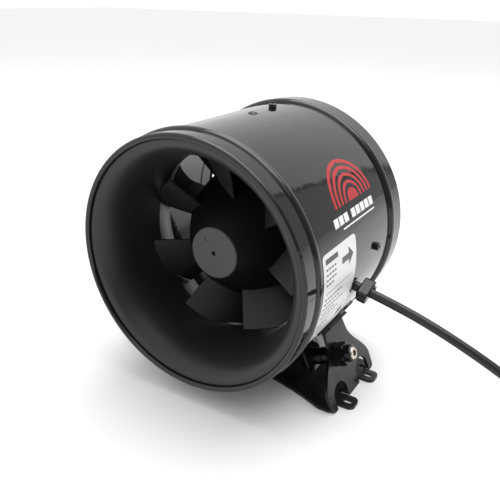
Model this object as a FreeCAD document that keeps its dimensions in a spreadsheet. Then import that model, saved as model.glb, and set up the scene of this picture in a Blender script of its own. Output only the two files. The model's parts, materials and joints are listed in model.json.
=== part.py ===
"""Inline duct fan with mixed-flow impeller on a sheet-steel foot bracket (FreeCAD 1.1, millimetres).

Frame: +Z up, +Y along the air flow from inlet to outlet, +X to the side of the cable gland.
The origin is on the standing surface, under the middle of the fan, at the centre of the foot slots.
"""
import FreeCAD, Part
import math
import os
from FreeCAD import Placement, Rotation, Vector

X_AXIS = Vector(1, 0, 0)
Y_AXIS = Vector(0, 1, 0)
Z_AXIS = Vector(0, 0, 1)

SIZES = {
    # casing: lengths are stations along the flow, counted from the inlet face
    "inlet_radius": 100.0,
    "outlet_radius": 102.0,
    "wall": 1.2,
    "case_length": 178.0,
    "bead_rise": 2.0,
    "outlet_bead_rise": 0.8,
    "bead_half": 3.8,
    "inlet_bead": 19.0,
    "outlet_bead": 157.0,
    "curl_radius": 2.3,
    "hem_radius": 1.3,
    "axis_height": 115.0,
    "centre_station": 89.0,
    "fit_gap": 0.4,
    # inlet bell and shroud
    "lip_radius": 95.0,
    "lip_station": 3.2,
    "throat_radius": 78.5,
    "throat_start": 40.0,
    "throat_end": 68.0,
    "shroud_exit_radius": 90.5,
    "shroud_end": 97.0,
    "bell_wall": 2.5,
    # impeller
    "blade_count": 7,
    "blade_start": 60.0,
    "blade_sweep": 12.0,
    "blade_phase": 135.0,
    "blade_wrap": 38.0,
    "blade_thickness": 2.6,
    "tip_gap": 1.2,
    "nose_radius": 21.5,
    "nose_station": 40.5,
    "hub_end": 98.0,
    "hub_wall": 2.6,
    # shaft, bearings and motor
    "shaft_radius": 3.0,
    "shaft_start": 40.6,
    "shaft_length": 68.9,
    "bearing_radius": 9.5,
    "bearing_bore": 3.05,
    "bearing_width": 6.0,
    "front_bearing": 73.0,
    "rear_bearing": 99.0,
    "can_radius": 37.0,
    "can_wall": 1.6,
    "can_start": 64.0,
    "can_length": 33.0,
    "magnet_inner": 33.0,
    "magnet_start": 68.0,
    "magnet_length": 26.0,
    "core_radius": 32.3,
    "core_start": 71.0,
    "core_length": 19.0,
    "core_slots": 12,
    "tube_radius": 12.0,
    # guide vanes and rear housing
    "vane_count": 9,
    "vane_phase": 135.5,
    "vane_start": 106.0,
    "vane_length": 38.0,
    "vane_turn": 8.0,
    "vane_thickness": 2.0,
    "ring_start": 104.0,
    "ring_length": 46.0,
    "ring_inner": 96.0,
    "housing_radius": 58.0,
    "housing_wall": 2.5,
    "housing_start": 101.0,
    "housing_length": 49.0,
    # bracket
    "sheet": 2.5,
    "ear_foot": 107.0,
    "ear_lean": 24.0,
    "ear_height": 61.0,
    "tab_reach": 10.0,
    "tab_width": 15.0,
    "tab_spacing": 43.0,
    "slot_centre": 109.6,
    "slot_length": 8.0,
    "slot_width": 5.0,
    "bolt_height": 36.5,
    "bolt_offset": -9.2,
    "lug_gap": 19.0,
    "bolt_radius": 5.0,
    "nut_flats": 17.0,
    "nut_height": 8.5,
    # mains lead
    "cord_radius": 3.65,
    "gland_angle": -12.0,
    "coil_radius": 40.0,
}

doc = FreeCAD.newDocument("duct_fan")
sheet = doc.addObject("Spreadsheet::Sheet", "Sizes")
for row, (word, value) in enumerate(SIZES.items(), start=1):
    sheet.set("A%d" % row, word)
    sheet.set("B%d" % row, str(value))
    sheet.setAlias("B%d" % row, word)
doc.recompute()

nodes = []


def size(word):
    """One driving dimension, read back from the sheet."""
    return float(sheet.get(word))


# ---------------------------------------------------------------- placing and keeping

FAN = Placement(Vector(0, -size("centre_station"), size("axis_height")), Rotation())


def along_axis(station):
    """Places a piece drawn along +Z on the fan's axis, its foot at this station."""
    base = Vector(0, station - size("centre_station"), size("axis_height"))
    return Placement(base, Rotation(X_AXIS, -90))


def spoke(angle, station, radius):
    """Places a piece drawn along +Z so that it points out along a radius of the casing."""
    turn = math.radians(angle)
    foot = Vector(radius * math.cos(turn), station, radius * math.sin(turn))
    return FAN.multiply(Placement(foot, Rotation(Z_AXIS, Vector(math.cos(turn), 0, math.sin(turn)))))


def keep(obj, label):
    obj.Label = label
    nodes.append(obj)
    return obj


def free_solid(label, shape, place=None):
    """A sub-part whose shape is made with Part's own functions."""
    obj = doc.addObject("Part::Feature", label)
    obj.Shape = shape
    if place is not None:
        obj.Placement = place
    return keep(obj, label)


def bound_cylinder(name, radius, height):
    """A Part cylinder; radius and height are expressions on the sheet."""
    obj = doc.addObject("Part::Cylinder", name)
    obj.setExpression("Radius", radius)
    obj.setExpression("Height", height)
    return obj


def bound_tube(label, outer, inner, length, place, drills=()):
    """A ring: one cylinder cut by another that runs past both faces, and by any cross holes."""
    body = bound_cylinder(label + "_outside", outer, length)
    bore = bound_cylinder(label + "_bore", inner, length + " + 2")
    bore.Placement = Placement(Vector(0, 0, -1), Rotation())
    ring = doc.addObject("Part::Cut", label + "_ring")
    ring.Base = body
    ring.Tool = bore
    if drills:
        holes = doc.addObject("Part::Feature", label + "_holes")
        holes.Shape = Part.makeCompound(drills)
        drilled = doc.addObject("Part::Cut", label + "_drilled")
        drilled.Base = ring
        drilled.Tool = holes
        ring = drilled
    ring.Placement = place
    return keep(ring, label)


def origin_plane(body, role):
    return next(item for item in body.Origin.OriginFeatures if item.Role == role)


def padded(label, draw, length, place):
    """A PartDesign body: one sketch on its XY plane, padded by a length from the sheet."""
    body = doc.addObject("PartDesign::Body", label)
    sketch = body.newObject("Sketcher::SketchObject", label + "_sketch")
    sketch.AttachmentSupport = (origin_plane(body, "XY_Plane"), "")
    sketch.MapMode = "FlatFace"
    draw(sketch)
    pad = body.newObject("PartDesign::Pad", label + "_pad")
    pad.Profile = sketch
    pad.setExpression("Length", length)
    doc.recompute()
    body.Placement = place
    return keep(body, label)


# ---------------------------------------------------------------- drawing helpers

def circle(sketch, radius, x=0.0, y=0.0):
    return sketch.addGeometry(Part.Circle(Vector(x, y, 0), Z_AXIS, radius))


def revolved(edges):
    """Turns a closed outline, drawn with X as radius and Y as station, round the fan's axis."""
    return Part.Face(Part.Wire(edges)).revolve(Vector(0, 0, 0), Y_AXIS, 360)


def flat(radius, station):
    return Vector(radius, station, 0)


def chain(points):
    """Straight edges through the points, in order."""
    return [Part.LineSegment(a, b).toShape() for a, b in zip(points, points[1:])]


def smooth(points):
    curve = Part.BSplineCurve()
    curve.interpolate(points)
    return curve.toShape()


def rod(radius, start, end):
    """A round bar between two points."""
    return Part.makeCylinder(radius, (end - start).Length, start, end - start)


def ring(outer, inner, height, lift=0.0):
    foot = Vector(0, 0, lift)
    return Part.makeCylinder(outer, height, foot).cut(Part.makeCylinder(inner, height + 2, foot - Z_AXIS))


def hexagon(flats, height, lift=0.0):
    corner = flats / math.sqrt(3)
    points = [Vector(corner * math.cos(math.radians(60 * k)), corner * math.sin(math.radians(60 * k)), lift)
              for k in range(7)]
    return Part.Face(Part.makePolygon(points)).extrude(Z_AXIS * height)


def placed(shape, place):
    copy = shape.copy()
    copy.Placement = place.multiply(copy.Placement)
    return copy


def cap_screw(head_radius, head_height, shank_radius, shank_length):
    """Cylinder head with a hex socket on +Z, shank down -Z."""
    head = Part.makeCylinder(head_radius, head_height)
    head = head.makeChamfer(0.3, [head.Edges[0]])
    socket = hexagon(head_radius, head_height, 0.5 * head_height)
    shank = Part.makeCylinder(shank_radius, shank_length, Vector(0, 0, -shank_length))
    return head.cut(socket).fuse(shank).removeSplitter()


def dome_screw(head_radius, head_height, shank_radius, shank_length):
    """Low domed head on +Z, shank down -Z."""
    ball_radius = (head_radius ** 2 + head_height ** 2) / (2 * head_height)
    ball = Part.makeSphere(ball_radius, Vector(0, 0, head_height - ball_radius))
    head = ball.common(Part.makeCylinder(head_radius, head_height))
    shank = Part.makeCylinder(shank_radius, shank_length, Vector(0, 0, -shank_length))
    return head.fuse(shank).removeSplitter()


# ---------------------------------------------------------------- casing

VANE_SCREW_ANGLES = [0, 90, 180, 270]
VANE_SCREW_STATION = 124.0
BELL_RIVET_ANGLES = [90, 210, 330]
BELL_RIVET_STATION = 93.0
GLAND_STATION = 88.0
INNER_LEAD_RADIUS = 93.0


def casing_path(offset):
    """The casing's outline from inlet to outlet, moved inwards by an offset."""
    front = size("inlet_radius") - offset
    rear = size("outlet_radius") - offset
    half = size("bead_half")
    bead_a = size("inlet_bead")
    bead_b = size("outlet_bead")
    top_a = front + size("bead_rise")
    top_b = rear + size("outlet_bead_rise")
    start = flat(front, size("curl_radius"))
    end = flat(rear, size("case_length") - size("hem_radius"))
    return [
        Part.LineSegment(start, flat(front, bead_a - half)).toShape(),
        Part.Arc(flat(front, bead_a - half), flat(top_a, bead_a), flat(front, bead_a + half)).toShape(),
        Part.LineSegment(flat(front, bead_a + half), flat(front, bead_b - half)).toShape(),
        Part.Arc(flat(front, bead_b - half), flat(top_b, bead_b), flat(rear, bead_b + half)).toShape(),
        Part.LineSegment(flat(rear, bead_b + half), end).toShape(),
    ]


def build_casing():
    """Rolled steel shell with a curled inlet edge, a hemmed outlet edge and a bead near each end."""
    outer = casing_path(0.0)
    inner = casing_path(size("wall"))
    ends = [Part.LineSegment(inner[k].Vertexes[k].Point, outer[k].Vertexes[k].Point).toShape()
            for k in (0, -1)]
    shell = revolved(Part.__sortEdges__(outer + inner + ends))
    curl = size("curl_radius")
    hem = size("hem_radius")
    curl_ring = Part.makeTorus(size("inlet_radius") - curl, curl, flat(0, curl), Y_AXIS)
    hem_ring = Part.makeTorus(size("outlet_radius") - hem, hem, flat(0, size("case_length") - hem), Y_AXIS)
    shell = shell.fuse([curl_ring, hem_ring])
    holes = []
    for angle in VANE_SCREW_ANGLES:
        holes.append(wall_drill(angle, VANE_SCREW_STATION, 2.3))
    for angle in BELL_RIVET_ANGLES:
        holes.append(wall_drill(angle, BELL_RIVET_STATION, 1.9))
    holes.append(wall_drill(size("gland_angle"), GLAND_STATION, 4.1))
    free_solid("casing", shell.cut(holes).removeSplitter(), FAN)


def radial(angle):
    """Unit vector out from the axis at an angle seen from the inlet."""
    turn = math.radians(angle)
    return Vector(math.cos(turn), 0, math.sin(turn))


def wall_drill(angle, station, radius):
    """A drill through the casing wall, in the fan's own frame."""
    out = radial(angle)
    return rod(radius, out * 94 + Y_AXIS * station, out * 108 + Y_AXIS * station)


# ---------------------------------------------------------------- inlet bell and shroud

def build_inlet_bell():
    """Moulded bell mouth, cylindrical throat and opening shroud, with a skirt that the rivets hold."""
    lip = size("lip_radius")
    lip_y = size("lip_station")
    throat = size("throat_radius")
    start = size("throat_start")
    end = size("throat_end")
    exit_r = size("shroud_exit_radius")
    exit_y = size("shroud_end")
    wall = size("bell_wall")
    rim = size("inlet_radius") - size("wall") - size("fit_gap")
    rim_y = 2 * size("curl_radius") + 0.5
    skirt_y = 86.0

    def flare(offset, edge, edge_y, count=9):
        """Quarter ellipse from the throat out to an edge."""
        points = []
        for k in range(count):
            turn = math.radians(90.0 * k / (count - 1))
            radius = throat + offset + (edge - throat - offset) * (1 - math.cos(turn))
            points.append(flat(radius, start - (start - edge_y) * math.sin(turn)))
        return points

    front = flare(0.0, lip, lip_y)
    back = flare(wall, rim, rim_y + wall)
    opening = [flat(throat, end), flat(throat + 3.4, end + 12), flat(exit_r, exit_y)]
    outside = [flat(throat + wall, end), flat(throat + wall + 3.6, end + 11.4),
               flat(exit_r + wall, exit_y - 2)]
    edges = [smooth(front), Part.LineSegment(front[0], opening[0]).toShape(), smooth(opening)]
    edges += chain([opening[-1], flat(rim, exit_y), flat(rim, skirt_y), flat(rim - 2, skirt_y),
                    flat(rim - 2, exit_y - 2), outside[-1]])
    edges += [smooth(outside), Part.LineSegment(outside[0], back[0]).toShape(), smooth(back)]
    edges += chain([back[-1], flat(rim, rim_y), flat(lip, rim_y), front[-1]])
    bell = revolved(Part.__sortEdges__(edges))
    holes = [wall_drill(angle, BELL_RIVET_STATION, 1.7) for angle in BELL_RIVET_ANGLES]
    holes.append(wall_drill(size("gland_angle"), GLAND_STATION, 7.0))
    way = radial(size("gland_angle"))
    holes.append(rod(2.8, way * INNER_LEAD_RADIUS + Y_AXIS * GLAND_STATION,
                     way * INNER_LEAD_RADIUS + Y_AXIS * 100))
    free_solid("inlet_bell", bell.cut(holes), FAN)


def build_bell_rivets():
    rivet = dome_screw(4.0, 1.3, 1.6, 5.0)
    rivets = [placed(rivet, spoke(angle, BELL_RIVET_STATION, size("inlet_radius") + 0.15))
              for angle in BELL_RIVET_ANGLES]
    free_solid("bell_rivets", Part.makeCompound(rivets))


# ---------------------------------------------------------------- impeller

def hub_outline(offset):
    """Smooth cone of the hub, from the nose disc back to the hub's rear edge."""
    points = [flat(size("nose_radius"), size("nose_station")), flat(31.0, 49.5), flat(39.5, 60.0),
              flat(52.0, 79.0), flat(58.0, size("hub_end"))]
    if offset:
        shifts = [Vector(-3.4, offset, 0), Vector(-2.8, 1.4, 0), Vector(-2.7, 1.0, 0),
                  Vector(-offset, 0.6, 0), Vector(-offset, 0, 0)]
        points = [point + shift for point, shift in zip(points, shifts)]
    return points


def blade_outline(reach, steps=10):
    """Section of a blade on the plane at this reach along X, as one closed wire."""
    share = (reach - 26.0) / 60.0
    wrap = size("blade_wrap")
    lead_radius = reach / math.cos(math.radians(wrap / 2))
    first = size("blade_start") - size("blade_sweep") * (lead_radius - 40.0) / 28.5
    last = 93.0 - 7.0 * share
    centre = []
    for k in range(steps + 1):
        run = k / steps
        angle = math.radians(wrap * (1 - (1 - run) ** 1.6) - wrap / 2)
        centre.append(Vector(reach, first + (last - first) * run, reach * math.tan(angle)))
    return airfoil(centre, lambda run: size("blade_thickness") * (0.5 + 0.5 * math.sin(math.pi * run)))


def airfoil(centre, thickness):
    """Closed outline round a centre line that lies on a plane across X; thickness depends on the run."""
    steps = len(centre) - 1
    left, right = [], []
    for k, point in enumerate(centre):
        ahead = centre[min(k + 1, steps)] - centre[max(k - 1, 0)]
        side = ahead.cross(X_AXIS).normalize() * (thickness(k / steps) / 2)
        left.append(point + side)
        right.append(point - side)
    edges = [smooth(left), Part.LineSegment(left[-1], right[-1]).toShape(), smooth(right),
             Part.LineSegment(left[0], right[0]).toShape()]
    return Part.Wire(Part.__sortEdges__(edges))


def swept_blade(turn):
    """One blade, wrapped round the hub, with a straight leading edge that leans towards the inlet."""
    blade = Part.makeLoft([blade_outline(reach) for reach in (26.0, 44.0, 62.0, 90.0)], True, True)
    blade.rotate(Vector(0, 0, 0), Y_AXIS, -turn)
    return blade


def blade_space():
    """The ring-shaped room for the blades: from inside the hub's skin to just short of the shroud."""
    tip = size("throat_radius") - size("tip_gap")
    end = size("throat_end")
    inner = [point - Vector(1.2, -0.4, 0) for point in hub_outline(0)[1:]]
    outer = [flat(tip, end), flat(tip + 3.2, end + 12), flat(tip + 9.6, 96.0)]
    front = [inner[0], flat(37.0, 50.0), flat(66.0, 42.0), flat(69.0, 48.0), flat(tip, 58.5), outer[0]]
    edges = [smooth(inner), smooth(outer)] + chain(front)
    edges += chain([inner[-1], flat(inner[-1].x, 98.5), flat(outer[-1].x, 98.5), outer[-1]])
    return revolved(Part.__sortEdges__(edges))


def build_impeller():
    """Moulded hub of the mixed-flow impeller: nose, conical skin, shaft boss and screw bosses."""
    nose = size("nose_station")
    bore = size("shaft_radius") + 0.06
    outer = hub_outline(0)
    inner = hub_outline(size("hub_wall"))
    back = size("can_start") - 0.2
    edges = [smooth(outer), smooth(inner), Part.LineSegment(outer[-1], inner[-1]).toShape()]
    edges += chain([outer[0], flat(bore, nose), flat(bore, back), flat(7.0, back),
                    flat(7.0, inner[0].y), inner[0]])
    hub = revolved(Part.__sortEdges__(edges))
    for k in range(4):
        turn = math.radians(45 + 90 * k)
        foot = Vector(13.5 * math.cos(turn), nose + 1, 13.5 * math.sin(turn))
        boss = rod(3.2, foot, Vector(foot.x, back, foot.z))
        drill = rod(1.35, Vector(foot.x, back - 9, foot.z), Vector(foot.x, back + 1, foot.z))
        hub = hub.fuse(boss).cut(drill)
    free_solid("impeller", hub, FAN)


def build_impeller_blades():
    """The blades, moulded a little way into the hub's skin."""
    space = blade_space()
    step = 360.0 / size("blade_count")
    middle = size("blade_phase") + size("blade_wrap") / 2
    blades = [swept_blade(middle + k * step).common(space) for k in range(int(size("blade_count")))]
    free_solid("impeller_blades", Part.makeCompound(blades), FAN)


def build_nose_cap():
    """Round-edged disc on the impeller's nose, open over the shaft's end, with a small moulded dimple."""
    height = 2.0
    cap = ring(size("nose_radius") - 0.2, 1.9, height)
    cap = cap.makeFillet(1.5, [edge for edge in cap.Edges
                               if edge.BoundBox.XLength > 30 and edge.BoundBox.ZMax < 0.1])
    turn = math.radians(122)
    dimple = Part.makeCylinder(1.9, 0.5, Vector(12.5 * math.cos(turn), -12.5 * math.sin(turn), -0.1))
    free_solid("nose_cap", cap.cut(dimple), along_axis(size("nose_station") - height - 0.05))


# ---------------------------------------------------------------- motor

def build_rotor_can():
    """Deep-drawn steel cup that carries the magnets."""
    radius = size("can_radius")
    wall = size("can_wall")
    height = size("can_length")
    cup = Part.makeCylinder(radius, height)
    cup = cup.cut(Part.makeCylinder(radius - wall, height, Vector(0, 0, wall)))
    cup = cup.cut(Part.makeCylinder(size("shaft_radius") + 0.06, 10, Vector(0, 0, -1)))
    for k in range(4):
        turn = math.radians(45 + 90 * k)
        foot = Vector(13.5 * math.cos(turn), 13.5 * math.sin(turn), -1)
        cup = cup.cut(Part.makeCylinder(1.4, 10, foot))
    for k in range(6):
        turn = math.radians(60 * k)
        cup = cup.cut(Part.makeCylinder(3.0, 10, Vector(25 * math.cos(turn), 25 * math.sin(turn), -1)))
    free_solid("rotor_can", cup, along_axis(size("can_start")))


def build_rotor_screws():
    screw = dome_screw(2.5, 1.2, 1.25, 9.0)
    screws = []
    for k in range(4):
        turn = math.radians(45 + 90 * k)
        foot = Vector(13.5 * math.cos(turn), 13.5 * math.sin(turn), size("can_wall") + 0.05)
        screws.append(placed(screw, Placement(foot, Rotation())))
    free_solid("rotor_screws", Part.makeCompound(screws), along_axis(size("can_start")))


def build_stator_core():
    """Laminated core: hub ring, teeth and pole tips left between the slots."""
    height = size("core_length")
    core = ring(size("core_radius"), size("tube_radius") + 0.1, height)
    count = int(size("core_slots"))
    half = math.radians(180.0 / count)
    tooth = 2.2
    slots = []
    for k in range(count):
        middle = 2 * half * k
        near, far = 17.0, size("core_radius") - 3.0
        spread = [(near, -1), (far, -1), (far, 1), (near, 1), (near, -1)]
        points = []
        for radius, side in spread:
            reach = half - math.asin(tooth / radius)
            points.append(Vector(radius * math.cos(middle + side * reach),
                                 radius * math.sin(middle + side * reach), -1))
        slots.append(Part.Face(Part.makePolygon(points)).extrude(Z_AXIS * (height + 2)))
        mouth = Part.makeBox(8, 2.0, height + 2, Vector(far - 2, -1, -1))
        mouth.rotate(Vector(0, 0, 0), Z_AXIS, math.degrees(middle))
        slots.append(mouth)
    free_solid("stator_core", core.cut(slots), along_axis(size("core_start")))


def build_windings():
    """Copper end turns, one pair over each tooth."""
    count = int(size("core_slots"))
    height = size("core_length")
    coils = []
    for k in range(count):
        for lift in (-3.6, height + 0.1):
            end_turn = Part.makeBox(11.0, 6.6, 3.5, Vector(17.6, -3.3, lift))
            end_turn = end_turn.makeFillet(1.2, end_turn.Edges)
            end_turn.rotate(Vector(0, 0, 0), Z_AXIS, 360.0 * (k + 0.5) / count)
            coils.append(end_turn)
    free_solid("windings", Part.makeCompound(coils), along_axis(size("core_start")))


def draw_motor_flange(sketch):
    circle(sketch, 24.0)
    circle(sketch, size("bearing_radius") + 0.02)
    for k in range(4):
        turn = math.radians(90 * k)
        circle(sketch, 1.7, 19.0 * math.cos(turn), 19.0 * math.sin(turn))


def build_motor_fixings():
    """Screws that hold the motor's flange to the web of the rear housing."""
    screw = cap_screw(2.8, 3.0, 1.5, 7.0)
    screws = []
    for k in range(4):
        turn = math.radians(90 * k)
        foot = Vector(19.0 * math.cos(turn), 19.0 * math.sin(turn), -0.05)
        screws.append(placed(screw, Placement(foot, Rotation(X_AXIS, 180))))
    free_solid("motor_screws", Part.makeCompound(screws), along_axis(108.0))


# ---------------------------------------------------------------- guide vanes and rear housing

def guide_vane(turn):
    """One nearly straight vane that takes the swirl out of the air."""
    sections = []
    steps = 6
    for reach in (50.0, 76.0, 102.0):
        centre = []
        for k in range(steps + 1):
            run = k / steps
            angle = math.radians(-size("vane_turn") * (1 - (1 - run) ** 2) + size("vane_turn") / 2)
            station = size("vane_start") + size("vane_length") * run
            centre.append(Vector(reach, station, reach * math.tan(angle)))
        sections.append(airfoil(centre, lambda run: size("vane_thickness")))
    vane = Part.makeLoft(sections, True, True)
    vane.rotate(Vector(0, 0, 0), Y_AXIS, -turn)
    return vane


def build_vane_ring():
    """Steel ring inside the casing that the vanes and the four side screws hold."""
    height = VANE_SCREW_STATION - size("ring_start")
    drills = []
    for angle in VANE_SCREW_ANGLES:
        way = Vector(math.cos(math.radians(angle)), math.sin(math.radians(angle)), 0)
        drills.append(rod(2.1, way * 90 + Z_AXIS * height, way * 110 + Z_AXIS * height))
    bound_tube("vane_ring", "Sizes.inlet_radius - Sizes.wall - Sizes.fit_gap", "Sizes.ring_inner",
               "Sizes.ring_length", along_axis(size("ring_start")), drills)


def build_guide_vanes():
    """The vanes, let a little way into the outer ring and into the housing."""
    inside = size("housing_radius") - 1
    outside = size("ring_inner") + 1
    between = revolved(chain([flat(inside, 100), flat(outside, 100), flat(outside, 155), flat(inside, 155),
                              flat(inside, 100)]))
    count = int(size("vane_count"))
    vanes = [guide_vane(size("vane_phase") + 360.0 * k / count).common(between) for k in range(count)]
    free_solid("guide_vanes", Part.makeCompound(vanes), FAN)


def build_motor_housing():
    """Round housing in the middle of the vanes, with the web that the motor stands on."""
    radius = size("housing_radius")
    inside = radius - size("housing_wall")
    start = size("housing_start")
    end = start + size("housing_length")
    web = 111.0
    body = revolved(chain([flat(radius, start), flat(radius, end), flat(inside, end), flat(inside, web + 3),
                           flat(14.0, web + 3), flat(14.0, web), flat(inside, web), flat(inside, start),
                           flat(radius, start)]))
    for k in range(3):
        turn = math.radians(90 + 120 * k)
        post = Vector(49.0 * math.cos(turn), web + 2, 49.0 * math.sin(turn))
        body = body.fuse(rod(5.0, post, Vector(post.x, end - 2.7, post.z)))
        body = body.cut(rod(1.5, Vector(post.x, end - 14, post.z), Vector(post.x, end, post.z)))
    cuts = []
    for k in range(4):
        turn = math.radians(90 * k)
        foot = Vector(19.0 * math.cos(turn), web - 1, 19.0 * math.sin(turn))
        cuts.append(rod(1.6, foot, foot + Y_AXIS * 6))
    out = radial(size("gland_angle"))
    cuts.append(rod(3.2, out * 50 + Y_AXIS * 106, out * 62 + Y_AXIS * 106))
    free_solid("motor_housing", body.cut(cuts), FAN)


def build_vane_screws():
    screw = cap_screw(3.3, 3.0, 2.0, 5.0)
    screws = [placed(screw, spoke(angle, VANE_SCREW_STATION, size("inlet_radius") + 0.1))
              for angle in VANE_SCREW_ANGLES]
    free_solid("vane_screws", Part.makeCompound(screws))


def build_tail_cover():
    """Domed cover that closes the rear of the hub housing."""
    radius = size("housing_radius")
    start = size("housing_start") + size("housing_length") + 0.05
    inner = radius - size("housing_wall") - 0.3
    outer_curve = [flat(radius, start + 1.6), flat(radius - 3, start + 8), flat(radius - 14, start + 14.5),
                   flat(28.0, start + 17.0)]
    inner_curve = [flat(inner - 2, start - 2.5), flat(inner - 5, start + 6), flat(inner - 14, start + 12),
                   flat(28.0, start + 14.6)]
    edges = [smooth(outer_curve), smooth(inner_curve)]
    edges += chain([outer_curve[-1], flat(0, outer_curve[-1].y), flat(0, inner_curve[-1].y), inner_curve[-1]])
    edges += chain([outer_curve[0], flat(radius, start), flat(inner, start), flat(inner, start - 2.5),
                    inner_curve[0]])
    cover = revolved(Part.__sortEdges__(edges))
    for k in range(3):
        turn = math.radians(90 + 120 * k)
        foot = Vector(49.0 * math.cos(turn), start - 2.6, 49.0 * math.sin(turn))
        cover = cover.fuse(rod(4.0, foot, foot + Y_AXIS * 10.0))
        cover = cover.cut(rod(1.8, foot - Y_AXIS, foot + Y_AXIS * 20))
        cover = cover.cut(rod(4.2, foot + Y_AXIS * 10.0, foot + Y_AXIS * 25))
    free_solid("tail_cover", cover, FAN)


def build_tail_screws():
    start = size("housing_start") + size("housing_length") + 0.05
    screw = dome_screw(3.0, 1.6, 1.4, 19.0)
    screws = []
    for k in range(3):
        turn = math.radians(90 + 120 * k)
        foot = Vector(49.0 * math.cos(turn), start + 7.5, 49.0 * math.sin(turn))
        screws.append(placed(screw, FAN.multiply(Placement(foot, Rotation(Z_AXIS, Y_AXIS)))))
    free_solid("tail_screws", Part.makeCompound(screws))


def build_control_board():
    """Round circuit board behind the motor, with its parts in a node of their own."""
    board = ring(42.0, 12.0, 1.6)
    free_solid("control_board", board, along_axis(120.0))
    parts = []
    for angle, radius, height in ((20, 5.0, 14.0), (60, 5.0, 14.0), (110, 4.0, 10.0)):
        turn = math.radians(angle)
        foot = Vector(28 * math.cos(turn), 28 * math.sin(turn), 1.65)
        parts.append(Part.makeCylinder(radius, height, foot))
    chip = Part.makeBox(14, 14, 2.4, Vector(-34, -7, 1.65))
    choke = ring(8.0, 4.0, 6.0, 1.65)
    choke.translate(Vector(4, -27, 0))
    parts += [chip, choke]
    free_solid("board_parts", Part.makeCompound(parts), along_axis(120.0))
    posts = []
    for k in range(4):
        turn = math.radians(45 + 90 * k)
        foot = Vector(38.5 * math.cos(turn), 38.5 * math.sin(turn), 0)
        posts.append(ring(2.6, 1.3, 5.9).translated(foot))
    free_solid("board_posts", Part.makeCompound(posts), along_axis(114.05))


# ---------------------------------------------------------------- foot bracket

def ear_frame(side, lift=0.0, offset=0.0):
    """Frame of one ear's outer face: X along the fan, Y up the slope, Z out of the face."""
    lean = math.radians(size("ear_lean"))
    up = Vector(-side * math.sin(lean), 0, math.cos(lean))
    out = Vector(side * math.cos(lean), 0, math.sin(lean))
    base = Vector(side * size("ear_foot"), 0, 0)
    along = up.cross(out)
    return Placement(base + up * lift + Y_AXIS * offset, Rotation(along, up, out, "ZXY"))


def ear_outline(side):
    """Ear: broad foot, hollow flanks and a narrow top."""
    top = size("ear_height")
    half = 41.0
    corner = 4.0
    neck = 16.0
    right = [Vector(half - corner, 0, 0), Vector(half, corner, 0), Vector(half + 0.5, 14.0, 0),
             Vector(30.0, 30.5, 0), Vector(18.0, 46.0, 0), Vector(neck, top, 0)]
    left = [Vector(-point.x, point.y, 0) for point in right]
    bend = math.sqrt(0.5)

    def flank(points, way):
        middle = Vector(way * (half - corner + corner * bend), corner - corner * bend, 0)
        shoulder = Vector(way * 39.5, 19.0, 0)
        return [Part.Arc(points[0], middle, points[1]).toShape(),
                Part.LineSegment(points[1], points[2]).toShape(),
                Part.Arc(points[2], shoulder, Vector(way * 36.5, 23.0, 0)).toShape(),
                Part.LineSegment(Vector(way * 36.5, 23.0, 0), points[3]).toShape(),
                Part.Arc(points[3], Vector(way * 21.8, 39.5, 0), points[4]).toShape(),
                Part.LineSegment(points[4], points[5]).toShape()]

    edges = flank(right, 1) + flank(left, -1)
    edges.append(Part.LineSegment(left[0], right[0]).toShape())
    edges.append(Part.LineSegment(left[-1], right[-1]).toShape())
    face = Part.Face(Part.Wire(Part.__sortEdges__(edges)))
    plate = face.extrude(Vector(0, 0, -size("sheet")))
    return placed(plate, ear_frame(side))


def ear_window(side, place):
    """Opening that the foot tab was cut from, with an arched top."""
    half = 11.2
    sill, spring, crown = -4.0, 10.5, 17.5
    edges = [Part.LineSegment(Vector(-half, sill, 0), Vector(half, sill, 0)).toShape(),
             Part.LineSegment(Vector(half, sill, 0), Vector(half, spring, 0)).toShape(),
             Part.Arc(Vector(half, spring, 0), Vector(0, crown, 0), Vector(-half, spring, 0)).toShape(),
             Part.LineSegment(Vector(-half, spring, 0), Vector(-half, sill, 0)).toShape()]
    solid = Part.Face(Part.Wire(edges)).extrude(Z_AXIS * 14).translated(Vector(0, 0, -7))
    return placed(solid, ear_frame(side, 0.0, place))


def foot_tab(side, place):
    """Flat tab on the floor with a slot for a screw."""
    sheet_gauge = size("sheet")
    root = size("ear_foot") - 12.0
    tip = size("ear_foot") + size("tab_reach")
    half = size("tab_width") / 2
    tab = Part.makeBox(tip - root, 2 * half, sheet_gauge, Vector(root, -half, 0))
    tab = tab.makeFillet(5.0, [edge for edge in tab.Edges
                               if edge.BoundBox.ZLength > 1 and edge.BoundBox.XMin > tip - 1])
    middle = size("slot_centre")
    width = size("slot_width") / 2
    reach = size("slot_length") / 2 - width
    slot = Part.makeBox(2 * reach, 2 * width, 6, Vector(middle - reach, -width, -2))
    slot = slot.fuse([Part.makeCylinder(width, 6, Vector(middle + way * reach, 0, -2)) for way in (-1, 1)])
    tab = tab.cut(slot)
    if side < 0:
        tab.rotate(Vector(0, 0, 0), Z_AXIS, 180)
    return tab.translated(Vector(0, place, 0))


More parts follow.
